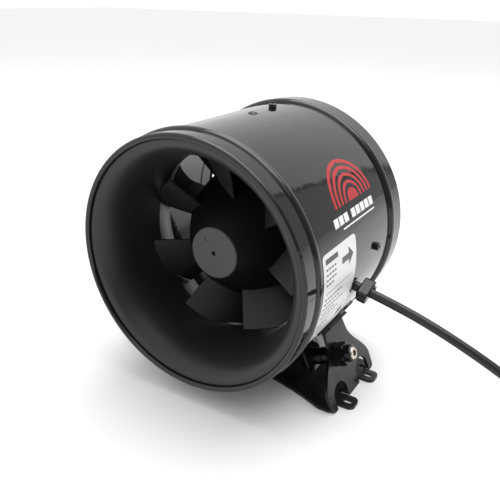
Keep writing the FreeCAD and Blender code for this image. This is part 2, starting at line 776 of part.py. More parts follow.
def base_plate():
    """Waisted plate on the floor between the two ears."""
    reach = size("ear_foot") - 1.0
    half = 41.0
    waist = 22.0
    corners = [Vector(reach, -half + 4, 0), Vector(reach - 4, -half, 0), Vector(92.0, -half, 0)]
    edges = []
    for way_x, way_y in ((1, 1), (-1, 1), (-1, -1), (1, -1)):
        a, b, c = [Vector(way_x * p.x, way_y * p.y, 0) for p in corners]
        edges.append(Part.LineSegment(a, b).toShape())
        edges.append(Part.LineSegment(b, c).toShape())
    for way in (1, -1):
        edges.append(Part.Arc(Vector(92.0, way * half, 0), Vector(0, way * waist, 0),
                              Vector(-92.0, way * half, 0)).toShape())
        edges.append(Part.LineSegment(Vector(way * reach, half - 4, 0),
                                      Vector(way * reach, 4 - half, 0)).toShape())
    return Part.Face(Part.Wire(Part.__sortEdges__(edges))).extrude(Z_AXIS * size("sheet"))


def top_flange(side, inner, outer, start, end, half):
    """Curved strip against the casing, from one angle to another."""
    strip = ring(outer, inner, 2 * half).translated(Vector(0, 0, -half))
    wedge_far = 200.0
    points = [Vector(0, 0, -half - 1)]
    for angle in (start, end):
        turn = math.radians(angle)
        points.append(Vector(wedge_far * math.cos(turn), -wedge_far * math.sin(turn), -half - 1))
    points.append(points[0])
    wedge = Part.Face(Part.makePolygon(points)).extrude(Z_AXIS * (2 * half + 2))
    strip = placed(strip.common(wedge), along_axis(size("centre_station")))
    if side < 0:
        strip = strip.mirror(Vector(0, 0, 0), X_AXIS)
    return strip


LIP_START = -38.2
LIP_END = -32.6


def build_bracket():
    """One sheet of steel: waisted base, two leaning ears, four foot tabs and a lip on each ear."""
    body = base_plate()
    outer = size("inlet_radius") + 4.4
    inner = outer - size("sheet")
    for side in (1, -1):
        body = body.fuse(ear_outline(side))
    cuts = [Part.makeCylinder(inner, 200, Vector(0, -100, size("axis_height")), Y_AXIS)]
    for side in (1, -1):
        for way in (1, -1):
            cuts.append(ear_window(side, way * size("tab_spacing") / 2))
        hole = Part.makeCylinder(size("bolt_radius") + 0.3, 12, Vector(0, 0, -6))
        cuts.append(placed(hole, ear_frame(side, size("bolt_height"), size("bolt_offset"))))
    body = body.cut(cuts)
    floor_cut = Part.makeBox(400, 200, 20, Vector(-200, -100, -20))
    body = body.cut(floor_cut)
    for side in (1, -1):
        body = body.fuse(top_flange(side, inner, outer, LIP_START, LIP_END, 16.0))
        for way in (1, -1):
            body = body.fuse(foot_tab(side, way * size("tab_spacing") / 2))
    free_solid("bracket", body.removeSplitter())


def build_saddle_pads():
    """Thin rubber strips between the bracket's lips and the casing."""
    inner = size("inlet_radius") + 0.2
    pads = [top_flange(side, inner, inner + 1.6, LIP_START - 1.0, LIP_END + 0.4, 26.0)
            for side in (1, -1)]
    free_solid("saddle_pads", Part.makeCompound([pad.translated(Y_AXIS * 7.0) for pad in pads]))


def build_ear_lugs():
    """Folded lugs welded under the casing; the ear bolts pass through them."""
    lugs = []
    gauge = 2.5
    skin = size("inlet_radius") + 0.1
    face = -size("sheet") - size("lug_gap")
    for side in (1, -1):
        frame = ear_frame(side, size("bolt_height"), size("bolt_offset"))
        plate = Part.makeBox(24, 40, gauge, Vector(-12, -10, face - gauge))
        plate = plate.makeFillet(6.0, [edge for edge in plate.Edges
                                       if edge.BoundBox.ZLength > 1 and edge.BoundBox.YMax < 0])
        hole = Part.makeCylinder(size("bolt_radius") + 0.3, 60, Vector(0, 0, -40))
        plate = placed(plate.cut(hole), frame)
        foot = top_flange(side, skin, skin + gauge, -62.0, -50.5, 12.0)
        foot.translate(Y_AXIS * size("bolt_offset"))
        case = Part.makeCylinder(skin, 120, Vector(0, -60, size("axis_height")), Y_AXIS)
        lugs.append(plate.fuse(foot).cut(case).removeSplitter())
    free_solid("ear_lugs", Part.makeCompound(lugs))


def on_ears(shape):
    """The same piece on both ears, drawn along +Z from the ear's outer face."""
    return [placed(shape, ear_frame(side, size("bolt_height"), size("bolt_offset")))
            for side in (1, -1)]


def build_ear_fixings():
    """Bolt with washer, nut and collar outside the ear, and spacer, lug and nut inside it."""
    radius = size("bolt_radius")
    flats = size("nut_flats")
    washer = 1.2
    foot = washer + 0.04
    inside = -size("sheet") - size("lug_gap") - 2.5
    clear = Part.makeCylinder(radius + 0.1, 80, Vector(0, 0, -40))
    free_solid("ear_washers", Part.makeCompound(on_ears(ring(10.0, radius + 0.2, washer, 0.02))))
    nut = hexagon(flats, size("nut_height"), foot)
    face = 0.52 * flats
    widening = Part.makeCone(face, face + 12, 12, Vector(0, 0, foot))
    narrowing = Part.makeCone(face + 12, face, 12, Vector(0, 0, foot + size("nut_height") - 12))
    nut = nut.common(widening).common(narrowing)
    free_solid("ear_nuts", Part.makeCompound(on_ears(nut.cut(clear))))
    collar_foot = foot + size("nut_height") + 0.02
    collar = ring(7.0, radius + 0.1, 5.4, collar_foot)
    collar = collar.makeChamfer(0.7, [edge for edge in collar.Edges
                                      if edge.BoundBox.ZMin > collar_foot + 5 and edge.BoundBox.XLength > 12])
    free_solid("ear_collars", Part.makeCompound(on_ears(collar)))
    tip = collar_foot + 6.4
    bolt = rod(radius, Vector(0, 0, inside - 9.0), Vector(0, 0, tip))
    bolt = bolt.makeChamfer(0.9, [edge for edge in bolt.Edges if edge.BoundBox.ZLength < 1])
    bolt = bolt.cut(hexagon(5.0, 6.0, tip - 5.0))
    free_solid("ear_bolts", Part.makeCompound(on_ears(bolt)))
    spacer = ring(7.0, radius + 0.1, size("lug_gap") - 0.1, -size("sheet") - size("lug_gap") + 0.05)
    for lift in (3.5, 9.5, 15.5):
        groove = ring(9.0, 6.2, 0.8, -size("sheet") - lift)
        spacer = spacer.cut(groove)
    free_solid("ear_spacers", Part.makeCompound(on_ears(spacer)))
    inner_nut = hexagon(flats, 6.0, inside - 6.05).cut(clear)
    free_solid("inner_nuts", Part.makeCompound(on_ears(inner_nut)))


# ---------------------------------------------------------------- cable gland and mains lead

def gland_place(turn=0.0):
    place = spoke(size("gland_angle"), GLAND_STATION, size("inlet_radius"))
    return place.multiply(Placement(Vector(0, 0, 0), Rotation(Z_AXIS, turn)))


CLAMP_TURN = 118.0


CLAMP_SCREW = 7.2


def build_gland():
    """Thin threaded neck through the wall, locknut inside, and a two-part clamp that grips the lead."""
    bore = size("cord_radius") + 0.2
    way = 2.4
    body = ring(3.9, way, 10.4, -4.6).fuse(ring(6.2, way, 1.0, 0.1))
    body = body.fuse(clamp_block(5.6, 4.4, 5.6))
    body = body.cut(Part.makeCylinder(bore, 6, Vector(0, 0, 7.4)))
    body = body.cut(Part.makeCylinder(way, 30, Vector(0, 0, -8)))
    body = body.cut(Part.makeBox(3.2, 20, 2.6, Vector(-10.6, -10, 5.0)))
    body = body.cut(Part.makeCylinder(1.6, 12, Vector(CLAMP_SCREW, 0, 4.0)))
    free_solid("gland_body", body.removeSplitter(), gland_place(CLAMP_TURN))
    locknut = hexagon(10.0, 2.9, -4.35).cut(Part.makeCylinder(4.0, 20, Vector(0, 0, -10)))
    free_solid("gland_locknut", locknut, gland_place())
    jaw = clamp_block(10.1, 4.6, 14.7).cut(Part.makeCylinder(bore, 20, Vector(0, 0, 0)))
    jaw = jaw.cut(Part.makeCylinder(1.7, 12, Vector(CLAMP_SCREW, 0, 4.0)))
    free_solid("gland_jaw", jaw, gland_place(CLAMP_TURN))
    screw = Part.makeCylinder(2.6, 1.6, Vector(CLAMP_SCREW, 0, 14.75))
    screw = screw.cut(Part.makeBox(8, 0.9, 0.9, Vector(CLAMP_SCREW - 4.0, -0.45, 15.5)))
    screw = screw.fuse(Part.makeCylinder(1.5, 9.0, Vector(CLAMP_SCREW, 0, 5.8)))
    free_solid("gland_screw", screw.removeSplitter(), gland_place(CLAMP_TURN))


def clamp_block(lift, height, rounded):
    """Oblong clamp plate with round ends, across the lead; its edge at one height is rounded over."""
    half_length, half_width = 10.6, 5.2
    reach = half_length - half_width
    block = Part.makeBox(2 * reach, 2 * half_width, height, Vector(-reach, -half_width, lift))
    ends = [Part.makeCylinder(half_width, height, Vector(way * reach, 0, lift)) for way in (-1, 1)]
    block = block.fuse(ends).removeSplitter()
    rim = [edge for edge in block.Edges
           if edge.BoundBox.ZLength < 0.01 and abs(edge.BoundBox.ZMin - rounded) < 0.01]
    return block.makeFillet(1.3, rim)


def rounded_run(points, radius, title):
    """Straight runs joined by tangent arcs; each arc takes 0.45 of the shorter run beside it."""
    edges = []
    last = points[0]
    radii = []
    for before, corner, after in zip(points, points[1:], points[2:]):
        arrive = (corner - before)
        leave = (after - corner)
        reach = 0.45 * min(arrive.Length, leave.Length)
        turn = arrive.getAngle(leave)
        radii.append(reach / math.tan(turn / 2))
        a = corner - arrive.normalize() * reach
        b = corner + leave.normalize() * reach
        centre_way = (leave - arrive).normalize()
        centre = corner + centre_way * (reach / math.sin(turn / 2))
        middle = centre - centre_way * radii[-1]
        edges.append(Part.LineSegment(last, a).toShape())
        edges.append(Part.Arc(a, middle, b).toShape())
        last = b
    edges.append(Part.LineSegment(last, points[-1]).toShape())
    wire = Part.Wire(edges)
    start = points[1] - points[0]
    section = Part.Wire([Part.Circle(points[0], start, radius).toShape()])
    tube = wire.makePipeShell([section], True, True)
    expected = math.pi * radius ** 2 * wire.Length
    print("%s: length %.0f, tightest arc %.1f, volume ratio %.4f"
          % (title, wire.Length, min(radii), tube.Volume / expected))
    print("   radii: " + ", ".join("%.0f" % value for value in radii))
    return tube


def lead_exit(reach):
    """A point on the gland's axis, this far out from the casing's skin."""
    return gland_place().multVec(Vector(0, 0, reach))


LEAD_START = 7.5
COIL_CENTRE = Vector(392.0, 30.0, 0.0)


def build_mains_lead():
    """The uncoiled stretch: out of the gland, down in one sweep, along the floor to the coil."""
    lift = size("cord_radius") + 0.05
    points = [
        lead_exit(LEAD_START),
        lead_exit(40.0),
        Vector(181.0, -1.0, 70.8),
        Vector(224.0, -1.5, 52.0),
        Vector(262.0, -3.0, 30.0),
        Vector(300.0, -7.0, lift + 4.5),
        Vector(335.0, -14.0, lift),
        Vector(370.0, -17.5, lift),
    ]
    free_solid("mains_lead", rounded_run(points, size("cord_radius"), "mains lead"))


def build_inner_lead():
    """Short flexible lead from the gland across the duct into the rear housing."""
    points = [(97.0, GLAND_STATION), (INNER_LEAD_RADIUS, GLAND_STATION), (INNER_LEAD_RADIUS, 106.0),
              (54.0, 106.0)]
    out = radial(size("gland_angle"))
    path = [FAN.multVec(out * radius + Y_AXIS * station) for radius, station in points]
    wire = Part.makePolygon(path)
    section = Part.Wire([Part.Circle(path[0], path[1] - path[0], 2.0).toShape()])
    lead = wire.makePipeShell([section], True, True, 2)
    free_solid("inner_lead", lead)


def build_coil():
    """The put-away length as one plain ring, its tie, and the plug beside it."""
    radius = size("coil_radius")
    wide = 11.2
    high = 14.8
    outer = ring(radius + wide, radius - wide, high)
    outer = outer.makeFillet(3.2, [edge for edge in outer.Edges if edge.BoundBox.XLength > 20])
    free_solid("lead_coil", outer, Placement(COIL_CENTRE + Z_AXIS * 0.05, Rotation()))
    band = Part.makeBox(2 * wide + 3.2, 9.0, high + 1.7, Vector(-wide - 1.6, -4.5, 0))
    room = Part.makeBox(2 * wide + 0.8, 12.0, high + 0.4, Vector(-wide - 0.4, -6.0, -0.05))
    band = band.makeFillet(1.2, [edge for edge in band.Edges if edge.BoundBox.YLength > 5]).cut(room)
    free_solid("coil_tie", band, Placement(COIL_CENTRE + Vector(0, radius, 0.0), Rotation(Z_AXIS, 90)))


PLUG_CENTRE = Vector(432.0, 62.0, 14.9)


def build_plug():
    """Round two-pole earthed plug on the coil: body with a tapered tail, pins and side contacts."""
    grip = Part.makeCylinder(18.5, 26.0)
    grip = grip.makeFillet(3.0, [grip.Edges[2]])
    waist = Part.makeCone(18.5, 10.0, 10.0, Vector(0, 0, 26.0))
    tail = Part.makeCone(6.2, 4.2, 26.0, Vector(0, 0, 35.9))
    neck = Part.makeCone(10.0, 6.2, 0.5, Vector(0, 0, 35.9))
    body = grip.fuse([waist, neck, tail])
    for way in (-1, 1):
        body = body.cut(Part.makeCylinder(2.45, 8.0, Vector(9.5 * way, 0, -1)))
        body = body.cut(Part.makeBox(6.4, 2.6, 20.0, Vector(-3.2, way * 17.4 - 1.3, -1)))
    place = Placement(PLUG_CENTRE + Vector(0, 0, 18.6), Rotation(Z_AXIS, Y_AXIS * -1))
    free_solid("plug_body", body.removeSplitter(), place)
    pins = []
    for way in (-1, 1):
        pin = Part.makeCylinder(2.4, 24.0, Vector(9.5 * way, 0, -19.0))
        pins.append(pin.makeFillet(1.2, [pin.Edges[2]]))
    free_solid("plug_pins", Part.makeCompound(pins), place)
    clips = [Part.makeBox(5.6, 0.8, 16.0, Vector(-2.8, way * 17.2 - 0.4, 1.0)) for way in (-1, 1)]
    free_solid("plug_contacts", Part.makeCompound(clips), place)


# ---------------------------------------------------------------- label

def build_label():
    """Thin rectangular label wrapped round the casing."""
    skin = size("inlet_radius") + 0.05
    film = ring(skin + 0.25, skin, 55.8)
    points = [Vector(0, 0, -1)]
    for angle in (14.5, -28.5):
        turn = math.radians(angle)
        points.append(Vector(200 * math.cos(turn), -200 * math.sin(turn), -1))
    points.append(points[0])
    wedge = Part.Face(Part.makePolygon(points)).extrude(Z_AXIS * 60)
    free_solid("rating_label", film.common(wedge), along_axis(26.0))


# ---------------------------------------------------------------- build everything

build_casing()
build_inlet_bell()
build_bell_rivets()
build_impeller()
build_impeller_blades()
build_nose_cap()
shaft = keep(bound_cylinder("shaft", "Sizes.shaft_radius", "Sizes.shaft_length"), "shaft")
shaft.Placement = along_axis(size("shaft_start"))
bound_tube("bearing_front", "Sizes.bearing_radius", "Sizes.bearing_bore", "Sizes.bearing_width",
           along_axis(size("front_bearing")))
bound_tube("bearing_rear", "Sizes.bearing_radius", "Sizes.bearing_bore", "Sizes.bearing_width",
           along_axis(size("rear_bearing")))
bound_tube("bearing_tube", "Sizes.tube_radius", "Sizes.bearing_radius + 0.02", "38", along_axis(70.0))
build_rotor_can()
build_rotor_screws()
bound_tube("magnet_ring", "Sizes.can_radius - Sizes.can_wall - 0.1", "Sizes.magnet_inner",
           "Sizes.magnet_length", along_axis(size("magnet_start")))
build_stator_core()
build_windings()
padded("motor_flange", draw_motor_flange, "2.9", along_axis(108.05))
build_motor_fixings()
build_vane_ring()
build_guide_vanes()
build_motor_housing()
build_vane_screws()
build_tail_cover()
build_tail_screws()
build_control_board()
build_bracket()
build_saddle_pads()
build_ear_lugs()
build_ear_fixings()
build_gland()
build_inner_lead()
build_mains_lead()
build_coil()
build_plug()
build_label()

doc.recompute()

# ---------------------------------------------------------------- check and write

for obj in doc.Objects:
    if any(word in obj.State for word in ("Invalid", "Error")):
        raise RuntimeError("failed object: " + obj.Name)
for obj in nodes:
    if obj.Shape.isNull() or not obj.Shape.isValid():
        raise RuntimeError("bad shape: " + obj.Label)
    print("%-16s solids %2d volume %10.1f" % (obj.Label, len(obj.Shape.Solids), obj.Shape.Volume))

os.makedirs("parts", exist_ok=True)
for obj in nodes:
    obj.Shape.exportStep("parts/" + obj.Label + ".step")
print("nodes:", len(nodes))
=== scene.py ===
"""Looks of the inline duct fan: studio, materials, printed marks, mains lead and fine surface detail.

All lengths are metres in the fan's own frame: +Z up, +Y along the air flow, +X to the side of the
cable gland, origin on the standing surface under the middle of the fan. Places on the casing are given
by an angle in degrees, from +X up towards +Z, and by a station, the distance from the inlet edge.
"""
import json
import math

import bpy
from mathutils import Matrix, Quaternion, Vector


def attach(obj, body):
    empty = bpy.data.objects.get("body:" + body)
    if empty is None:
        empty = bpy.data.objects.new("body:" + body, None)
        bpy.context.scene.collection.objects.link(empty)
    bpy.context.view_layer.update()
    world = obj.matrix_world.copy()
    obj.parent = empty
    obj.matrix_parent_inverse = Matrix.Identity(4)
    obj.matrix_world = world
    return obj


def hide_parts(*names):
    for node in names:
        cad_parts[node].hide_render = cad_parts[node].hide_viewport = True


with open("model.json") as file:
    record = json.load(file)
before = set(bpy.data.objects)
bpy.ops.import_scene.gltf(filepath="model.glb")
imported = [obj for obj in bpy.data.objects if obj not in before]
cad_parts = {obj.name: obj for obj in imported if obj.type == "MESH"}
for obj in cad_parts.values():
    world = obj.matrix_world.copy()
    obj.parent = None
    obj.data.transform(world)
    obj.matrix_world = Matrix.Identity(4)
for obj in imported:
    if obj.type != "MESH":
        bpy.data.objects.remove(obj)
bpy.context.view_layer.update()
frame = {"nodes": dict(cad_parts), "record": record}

MM = 0.001
AXIS_HEIGHT = 115 * MM
CENTRE_STATION = 89 * MM
CASE_RADIUS = 100 * MM
GLAND_ANGLE = -12.0
GLAND_STATION = 88 * MM


def on_casing(radius, angle, station):
    """A point at a radius from the fan's axis, an angle seen from the inlet and a station along it."""
    turn = math.radians(angle)
    return Vector((radius * math.cos(turn), station - CENTRE_STATION, AXIS_HEIGHT + radius * math.sin(turn)))


# ---------------------------------------------------------------- camera, light and floor

def build_camera():
    """Three-quarter view from the inlet end, a little above the fan."""
    data = bpy.data.cameras.new("camera")
    data.lens = 43.09
    data.sensor_width = 36.0
    camera = bpy.data.objects.new("camera", data)
    bpy.context.collection.objects.link(camera)
    camera.location = (0.2464, -0.3993, 0.3013)
    looking = Vector((-0.4795, 0.7839, -0.3944))
    roll = Quaternion((0, 0, 1), math.radians(1.03))
    camera.rotation_mode = "QUATERNION"
    camera.rotation_quaternion = looking.to_track_quat("-Z", "Y") @ roll
    bpy.context.scene.camera = camera


def area_light(name, place, target, size_x, size_y, power):
    """White rectangular lamp that faces a target."""
    data = bpy.data.lights.new(name, "AREA")
    data.shape = "RECTANGLE"
    data.size = size_x
    data.size_y = size_y
    data.energy = power
    light = bpy.data.objects.new(name, data)
    bpy.context.collection.objects.link(light)
    light.location = place
    light.rotation_mode = "QUATERNION"
    light.rotation_quaternion = (Vector(target) - Vector(place)).to_track_quat("-Z", "Y")


STUDIO_WHITE = 1.16
SECTOR_SOFTNESS = 0.004
# Both side bearings in degrees, the height of the top and how much is taken off the white.
GREY_SECTORS = (
    (21.0, 78.0, 0.75, 0.56),
    (78.0, 165.0, 0.7, 0.86),
    (21.0, 22.6, 0.75, 0.3),
)


def world_sector(world, start, end, height):
    """1 inside a sector of the sky between two bearings from +Y towards +X and under a height, else 0."""
    nodes, links = world.node_tree.nodes, world.node_tree.links
    coords = nodes.new("ShaderNodeTexCoord")
    start, end = math.radians(start), math.radians(end)
    walls = (
        (math.cos(start), -math.sin(start), 0.0, 0.0),
        (-math.cos(end), math.sin(end), 0.0, 0.0),
        (0.0, 0.0, -1.0, -height),
    )
    inside = None
    for x, y, z, limit in walls:
        facing = nodes.new("ShaderNodeVectorMath")
        facing.operation = "DOT_PRODUCT"
        facing.inputs[1].default_value = (x, y, z)
        links.new(coords.outputs["Generated"], facing.inputs[0])
        side = nodes.new("ShaderNodeMapRange")
        side.inputs["From Min"].default_value = limit - SECTOR_SOFTNESS
        side.inputs["From Max"].default_value = limit + SECTOR_SOFTNESS
        links.new(facing.outputs["Value"], side.inputs["Value"])
        if inside is None:
            inside = side.outputs["Result"]
            continue
        both = nodes.new("ShaderNodeMath")
        both.operation = "MULTIPLY"
        links.new(inside, both.inputs[0])
        links.new(side.outputs["Result"], both.inputs[1])
        inside = both.outputs[0]
    return inside


def build_world():
    """White studio with two greyer walls, the first with a narrow darker edge, for gloss to mirror."""
    world = bpy.data.worlds.new("studio")
    bpy.context.scene.world = world
    world.use_nodes = True
    nodes, links = world.node_tree.nodes, world.node_tree.links
    strength = None
    for start, end, height, drop in GREY_SECTORS:
        darker = nodes.new("ShaderNodeMath")
        darker.operation = "MULTIPLY_ADD"
        links.new(world_sector(world, start, end, height), darker.inputs[0])
        darker.inputs[1].default_value = -drop
        darker.inputs[2].default_value = STUDIO_WHITE
        if strength is not None:
            links.new(strength, darker.inputs[2])
        strength = darker.outputs[0]
    links.new(strength, nodes["Background"].inputs["Strength"])
    nodes["Background"].inputs["Color"].default_value = (1.0, 1.0, 1.0, 1.0)


def build_stage():
    """Pale plain floor, 18 m across, so that its edge lies far behind the fan."""
    mesh = bpy.data.meshes.new("floor")
    reach = 9.0
    corners = [(-reach, -reach, 0), (reach, -reach, 0), (reach, reach, 0), (-reach, reach, 0)]
    mesh.from_pydata(corners, [], [(0, 1, 2, 3)])
    floor = bpy.data.objects.new("floor", mesh)
    bpy.context.collection.objects.link(floor)
    mesh.materials.append(paper_white())


# ---------------------------------------------------------------- material helpers

class Recipe:
    """One node material under construction."""

    def __init__(self, name):
        self.material = bpy.data.materials.new(name)
        self.material.use_nodes = True
        self.nodes = self.material.node_tree.nodes
        self.links = self.material.node_tree.links
        self.shader = self.nodes["Principled BSDF"]
        self.place = self.nodes.new("ShaderNodeTexCoord").outputs["Object"]

    def set(self, **values):
        for name, value in values.items():
            self.shader.inputs[name.replace("_", " ")].default_value = value

    def stretched(self, scale):
        mapping = self.nodes.new("ShaderNodeMapping")
        mapping.inputs["Scale"].default_value = scale
        self.links.new(self.place, mapping.inputs["Vector"])
        return mapping.outputs["Vector"]

    def noise(self, scale, detail=4.0, roughness=0.5, vector=None):
        node = self.nodes.new("ShaderNodeTexNoise")
        node.inputs["Scale"].default_value = scale
        node.inputs["Detail"].default_value = detail
        node.inputs["Roughness"].default_value = roughness
        self.links.new(vector or self.place, node.inputs["Vector"])
        return node.outputs["Fac"]

    def cells(self, scale):
        node = self.nodes.new("ShaderNodeTexVoronoi")
        node.inputs["Scale"].default_value = scale
        self.links.new(self.place, node.inputs["Vector"])
        return node.outputs["Distance"]

    def remap(self, value, low, high, start=0.0, end=1.0):
        node = self.nodes.new("ShaderNodeMapRange")
        node.inputs["From Min"].default_value = low
        node.inputs["From Max"].default_value = high
        node.inputs["To Min"].default_value = start
        node.inputs["To Max"].default_value = end
        self.links.new(value, node.inputs["Value"])
        return node.outputs["Result"]

    def math(self, operation, first, second):
        node = self.nodes.new("ShaderNodeMath")
        node.operation = operation
        for socket, value in zip(node.inputs, (first, second)):
            if isinstance(value, (int, float)):
                socket.default_value = value
            else:
                self.links.new(value, socket)
        return node.outputs[0]

    def blend(self, factor, colour_a, colour_b):
        node = self.nodes.new("ShaderNodeMix")
        node.data_type = "RGBA"
        self.links.new(factor, node.inputs["Factor"])
        for socket, colour in zip((node.inputs[6], node.inputs[7]), (colour_a, colour_b)):
            if isinstance(colour, tuple):
                socket.default_value = (*colour, 1.0)
            else:
                self.links.new(colour, socket)
        return node.outputs[2]

    def colour(self, output):
        self.links.new(output, self.shader.inputs["Base Color"])

    def rough(self, output):
        self.links.new(output, self.shader.inputs["Roughness"])

    def bump(self, height, strength, distance, below=None):
        node = self.nodes.new("ShaderNodeBump")
        node.inputs["Strength"].default_value = strength
        node.inputs["Distance"].default_value = distance
        self.links.new(height, node.inputs["Height"])
        if below is not None:
            self.links.new(below, node.inputs["Normal"])
        self.links.new(node.outputs["Normal"], self.shader.inputs["Normal"])
        return node.outputs["Normal"]


def paper_white():
    """Matt white background sheet."""
    recipe = Recipe("paper_white")
    recipe.colour(recipe.blend(recipe.noise(3.0), (0.885, 0.885, 0.885), (0.9, 0.9, 0.9)))
    recipe.set(Roughness=0.7, Specular_IOR_Level=0.2)
    recipe.bump(recipe.noise(900.0), 0.05, 0.0002)
    return recipe.material


def gloss_enamel():
    """Wet-looking black enamel with faint orange peel and a little dust."""
    recipe = Recipe("gloss_enamel")
    dust = recipe.remap(recipe.cells(520.0), 0.0, 0.07, 1.0, 0.0)
    patch = recipe.remap(recipe.noise(9.0), 0.48, 0.62)
    specks = recipe.math("MULTIPLY", dust, patch)
    recipe.colour(recipe.blend(specks, (0.0065, 0.0065, 0.0075), (0.05, 0.05, 0.052)))
    haze = recipe.remap(recipe.noise(22.0, 6.0), 0.35, 0.7, 0.04, 0.10)
    recipe.rough(recipe.math("ADD", haze, recipe.math("MULTIPLY", specks, 0.4)))
    recipe.set(IOR=1.5)
    peel = recipe.bump(recipe.noise(420.0, 2.0), 0.05, 0.0003)
    recipe.bump(recipe.noise(48.0, 3.0, 0.6), 0.16, 0.0010, peel)
    return recipe.material


def powder_coat(name, tone, roughness, shine):
    """Satin black powder coat: fine grain, a soft sheen and paler rubbed patches."""
    recipe = Recipe(name)
    rubbed = recipe.remap(recipe.noise(38.0, 8.0, 0.65), 0.56, 0.72)
    recipe.colour(recipe.blend(rubbed, (tone, tone, tone * 1.05), (tone * 2.2, tone * 2.2, tone * 2.3)))
    recipe.rough(recipe.remap(recipe.noise(60.0, 6.0), 0.3, 0.7, roughness - 0.08, roughness + 0.1))
    recipe.set(Specular_IOR_Level=shine)
    grain = recipe.bump(recipe.noise(1500.0, 3.0), 0.25, 0.00012)
    recipe.bump(recipe.noise(240.0, 2.0), 0.12, 0.0003, grain)
    return recipe.material


def moulded(name, tone, roughness, dust_tone=None):
    """Injection-moulded plastic with fine spark-eroded grain and faint handling marks."""
    recipe = Recipe(name)
    cloud = recipe.remap(recipe.noise(26.0, 7.0, 0.6), 0.35, 0.72)
    pale = tuple(channel * 1.35 + 0.004 for channel in tone)
    base = recipe.blend(cloud, tone, pale)
    if dust_tone is not None:
        specks = recipe.remap(recipe.cells(430.0), 0.02, 0.09, 0.8, 0.0)
        gate = recipe.remap(recipe.noise(17.0, 3.0), 0.52, 0.6)
        base = recipe.blend(recipe.math("MULTIPLY", specks, gate), base, dust_tone)
    recipe.colour(base)
    recipe.rough(recipe.remap(recipe.noise(48.0, 6.0), 0.3, 0.7, roughness - 0.06, roughness + 0.08))
    fine = recipe.bump(recipe.noise(2600.0, 2.0), 0.2, 0.00006)
    recipe.bump(recipe.noise(190.0, 3.0), 0.08, 0.0003, fine)
    return recipe.material


def satin_moulding(name, tone, roughness, shine):
    """Fine, even satin plastic with a slow change of sheen and a trace of settled dust."""
    recipe = Recipe(name)
    pale = tuple(channel * 1.25 + 0.001 for channel in tone)
    dusty = tuple(channel * 1.6 + 0.004 for channel in tone)
    base = recipe.blend(recipe.remap(recipe.noise(14.0, 3.0), 0.3, 0.75), tone, pale)
    dust = recipe.math("MULTIPLY", recipe.remap(recipe.cells(700.0), 0.0, 0.06, 1.0, 0.0),
                       recipe.remap(recipe.noise(21.0, 3.0), 0.52, 0.66))
    recipe.colour(recipe.blend(dust, base, dusty))
    recipe.rough(recipe.remap(recipe.noise(30.0, 5.0), 0.3, 0.7, roughness - 0.04, roughness + 0.05))
    recipe.set(Specular_IOR_Level=shine)
    recipe.bump(recipe.noise(3000.0, 2.0), 0.10, 0.00004)
    return recipe.material


def plated(name, tone, roughness, stretch=(1, 1, 1)):
    """Plated or ground metal with fine tool marks and duller patches."""
    recipe = Recipe(name)
    marks = recipe.noise(900.0, 4.0, 0.6, recipe.stretched(stretch))
    patch = recipe.remap(recipe.noise(70.0, 6.0), 0.4, 0.65)
    dull = tuple(channel * 0.72 for channel in tone)
    recipe.colour(recipe.blend(patch, tone, dull))
    recipe.rough(recipe.remap(marks, 0.3, 0.7, roughness - 0.07, roughness + 0.12))
    recipe.set(Metallic=1.0)
    recipe.bump(marks, 0.12, 0.00005)
    return recipe.material


def jacket():
    """Satin black cable jacket: extruded, with faint ripples along it and finger marks."""
    recipe = Recipe("cable_jacket")
    smear = recipe.remap(recipe.noise(60.0, 6.0, 0.6), 0.4, 0.7)
    recipe.colour(recipe.blend(smear, (0.004, 0.004, 0.0044), (0.009, 0.009, 0.0095)))
    recipe.rough(recipe.remap(recipe.noise(110.0, 5.0), 0.3, 0.7, 0.2, 0.32))
    recipe.set(Specular_IOR_Level=0.42)
    ripple = recipe.bump(recipe.noise(300.0, 2.0), 0.12, 0.0004)
    recipe.bump(recipe.noise(2400.0, 2.0), 0.12, 0.00005, ripple)
    return recipe.material


def label_film():
    """White satin film with a faint waviness of the glue under it."""
    recipe = Recipe("label_film")
    recipe.colour(recipe.blend(recipe.noise(45.0, 5.0), (0.74, 0.75, 0.76), (0.84, 0.85, 0.86)))
    recipe.rough(recipe.remap(recipe.noise(80.0), 0.3, 0.7, 0.28, 0.42))
    recipe.bump(recipe.noise(70.0, 3.0), 0.10, 0.0006)
    return recipe.material


def ink(name, tone):
    """Printed ink, slightly uneven."""
    roughness = 0.35
    recipe = Recipe(name)
    thin = tuple(min(1.0, channel * 1.25 + 0.01) for channel in tone)
    recipe.colour(recipe.blend(recipe.remap(recipe.noise(260.0, 5.0), 0.35, 0.75), tone, thin))
    recipe.rough(recipe.remap(recipe.noise(90.0), 0.3, 0.7, roughness - 0.05, roughness + 0.08))
    recipe.bump(recipe.noise(700.0), 0.06, 0.00004)
    return recipe.material


def copper():
    """Enamelled copper wire lying side by side."""
    recipe = Recipe("copper_wire")
    wave = recipe.nodes.new("ShaderNodeTexWave")
    wave.inputs["Scale"].default_value = 420.0
    wave.inputs["Distortion"].default_value = 1.2
    recipe.links.new(recipe.place, wave.inputs["Vector"])
    recipe.colour(recipe.blend(wave.outputs["Fac"], (0.28, 0.09, 0.03), (0.72, 0.31, 0.13)))
    recipe.rough(recipe.remap(recipe.noise(120.0), 0.3, 0.7, 0.25, 0.4))
    recipe.set(Metallic=0.9)
    recipe.bump(wave.outputs["Fac"], 0.6, 0.0003)
    return recipe.material


